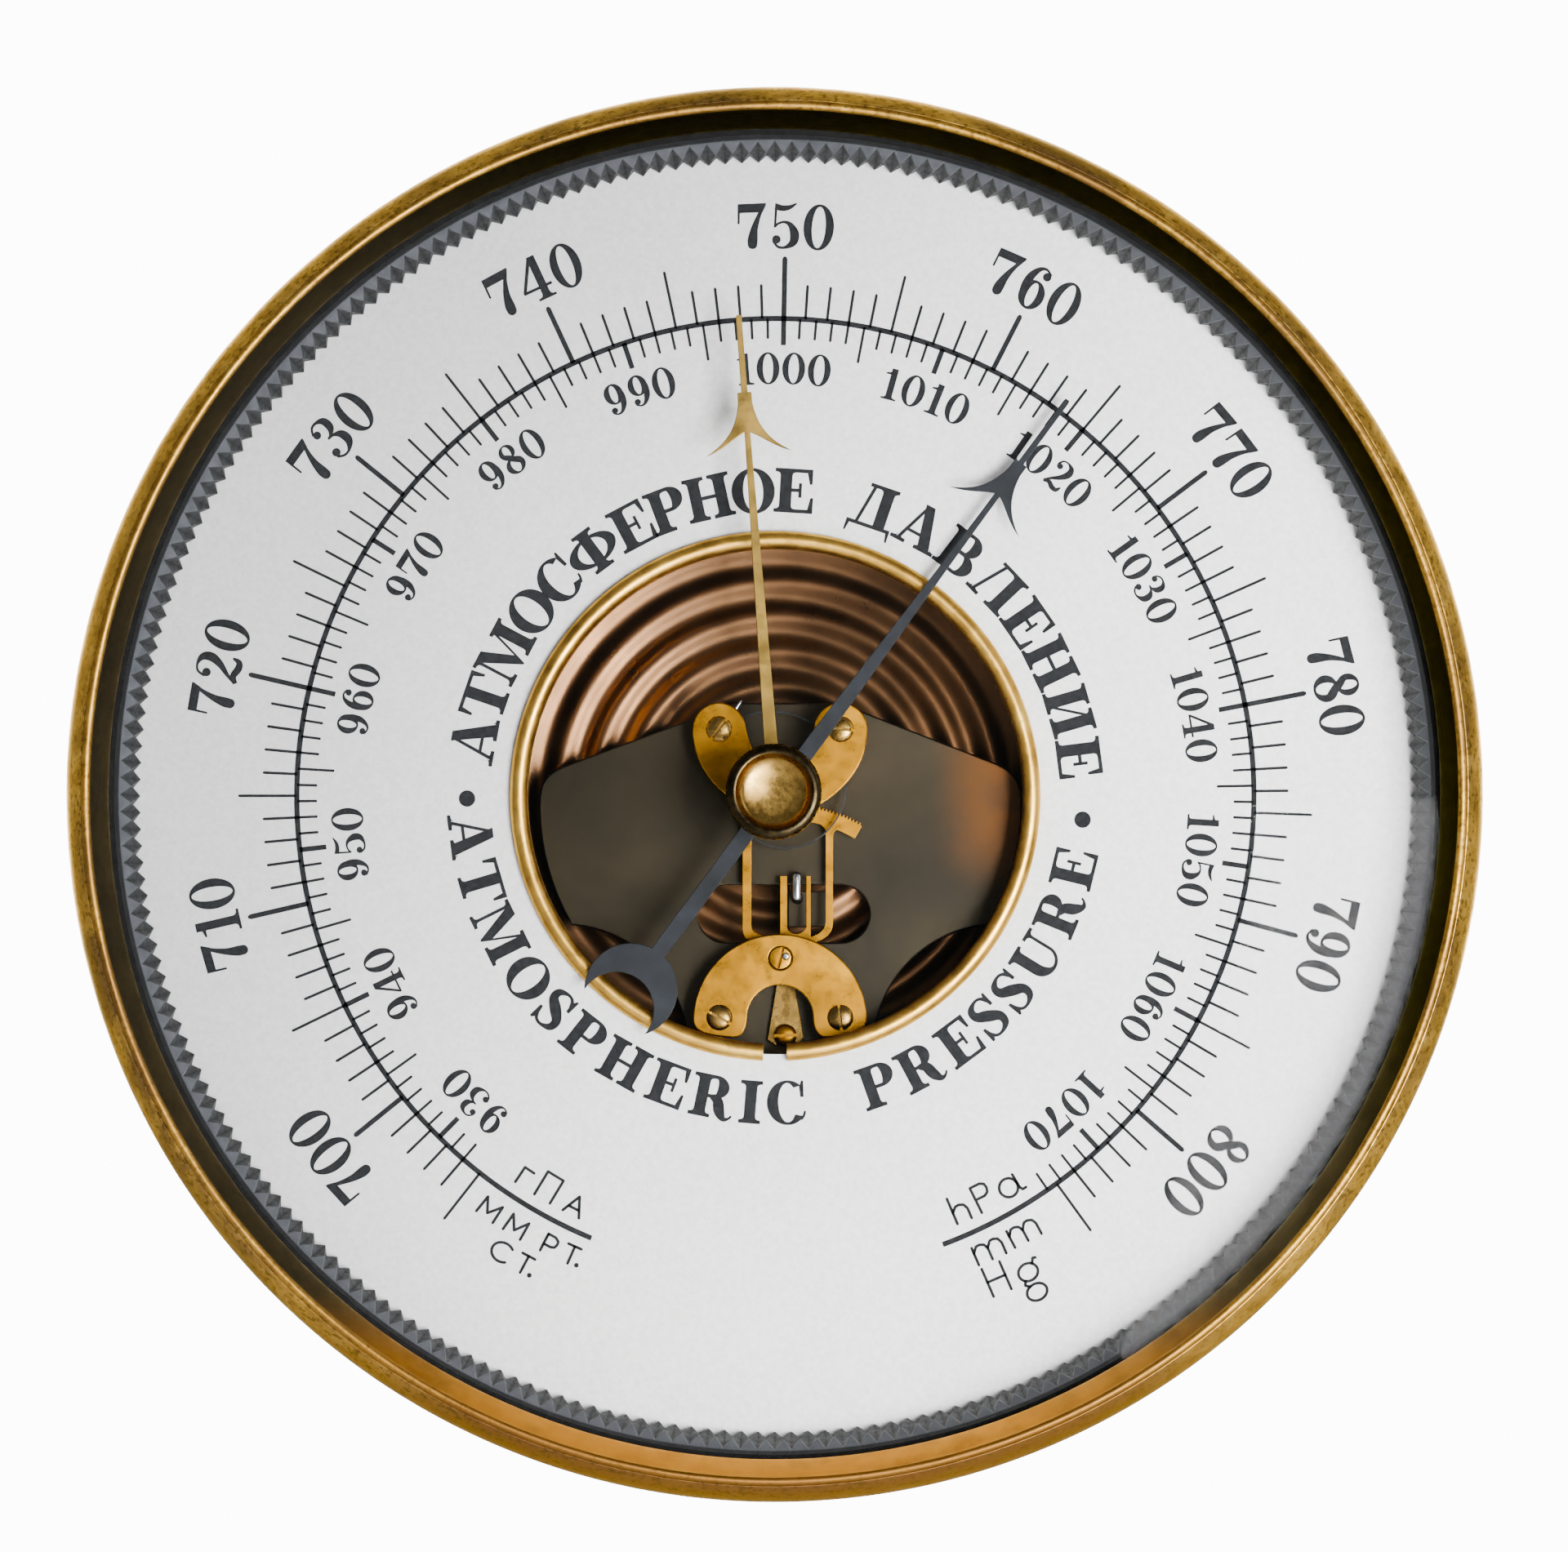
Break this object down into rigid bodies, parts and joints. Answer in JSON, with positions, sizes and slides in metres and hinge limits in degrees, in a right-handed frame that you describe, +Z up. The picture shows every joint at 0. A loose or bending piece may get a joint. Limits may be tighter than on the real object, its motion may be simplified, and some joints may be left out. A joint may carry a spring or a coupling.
{
  "type": "aneroid barometer",
  "caption": "Round aneroid barometer with a brass bezel, glass, a dial with an open window on the movement, a geared pressure pointer and a set hand turned by a knob.",
  "frame": {"origin": "centre of the flat rear face", "axes": "+Z up on the dial, +X to the reader's right, the dial faces -Y"},
  "size_m": [0.16, 0.0423, 0.16],
  "materials": {
    "bezel_brass": "polished, aged, with brown patches",
    "knob_brass": "polished, darkened",
    "gold_brass": "satin",
    "movement_brass": "matt, pale",
    "dark_bronze": "tarnished",
    "screw_bronze": "domed, dark",
    "copper": "tarnished copper alloy",
    "steel": "polished",
    "blued_steel": "blue-black, matt",
    "case_black": "black enamel",
    "dial_enamel": "pale grey-white, matt",
    "dial_ink": "printed, near-black",
    "grey_plastic": "blue-grey, serrated",
    "black_rubber": "matt",
    "felt": "felt",
    "glass": "clear, flat"
  },
  "bodies": {
    "case": {"case_can": "case_black", "bezel": "bezel_brass", "retaining_ring": "bezel_brass", "glass": "glass", "gasket": "black_rubber", "spacer_ring": "grey_plastic", "dial": "dial_enamel", "window_rim": "bezel_brass", "base_plate": "movement_brass", "base_screw_1": "steel", "base_screw_2": "steel", "base_screw_3": "steel", "capsule_back": "copper", "stand_pillar_1": "movement_brass", "stand_pillar_2": "movement_brass", "stand_screw_1": "screw_bronze", "stand_screw_2": "screw_bronze", "bridge_plate": "dark_bronze", "arbor_bridge": "movement_brass", "arbor_pillar_1": "movement_brass", "arbor_pillar_2": "movement_brass", "arbor_screw_1": "screw_bronze", "arbor_screw_2": "screw_bronze", "sector_bridge": "movement_brass", "sector_pillar_1": "movement_brass", "sector_pillar_2": "movement_brass", "sector_screw_1": "screw_bronze", "sector_screw_2": "screw_bronze", "pivot_bush": "movement_brass", "spring_stud": "movement_brass", "hairspring": "steel", "regulator_arm": "screw_bronze", "regulator_screw": "movement_brass", "rocker_bearing_1": "dark_bronze", "rocker_bearing_2": "dark_bronze"},
    "pointer": {"arbor": "steel", "spring_collet": "movement_brass", "pointer_bush": "movement_brass", "pointer_hand": "blued_steel"},
    "sector": {"sector": "movement_brass", "sector_arbor": "steel"},
    "rocker": {"rocking_shaft": "dark_bronze", "drive_pin": "steel"},
    "capsule_front": {"capsule_front": "copper", "capsule_stem": "steel"},
    "set_hand": {"set_hand": "gold_brass", "set_spindle": "knob_brass", "set_nut": "gold_brass", "knob": "knob_brass", "knob_washer": "felt"},
    "adjuster": {"adjusting_screw": "steel"}
  },
  "joints": [
    {"name": "pointer_turn", "type": "hinge", "parent": "case", "child": "pointer", "pos_m": [0, 0, 0], "axis": [0, 1, 0], "range_deg": [-178.2, 107.8], "stiffness_Nm_per_rad": 0.001},
    {"name": "sector_swing", "type": "hinge", "parent": "case", "child": "sector", "pos_m": [0.00115, 0, -0.0182], "axis": [0, 1, 0], "range_deg": [-4.95, 8.15]},
    {"name": "rocker_swing", "type": "hinge", "parent": "case", "child": "rocker", "pos_m": [0.001, -0.0157, 0], "axis": [0, 0, 1], "range_deg": [-8.8, 14.5]},
    {"name": "capsule_breathe", "type": "slide", "parent": "case", "child": "capsule_front", "axis": [0, 1, 0], "range_m": [-0.0002515, 0.0001522]},
    {"name": "set_hand_turn", "type": "hinge", "parent": "case", "child": "set_hand", "pos_m": [0, 0, 0], "axis": [0, 1, 0], "continuous": true},
    {"name": "adjuster_turn", "type": "hinge", "parent": "case", "child": "adjuster", "pos_m": [0.0005, 0, -0.0363], "axis": [0, 1, 0], "range_deg": [-180, 180]}
  ],
  "couplings": [
    {"joint": "pointer_turn", "follows": "capsule_breathe", "rad_per_m": 12361},
    {"joint": "sector_swing", "follows": "capsule_breathe", "rad_per_m": -561.86},
    {"joint": "rocker_swing", "follows": "capsule_breathe", "rad_per_m": -1000}
  ]
}
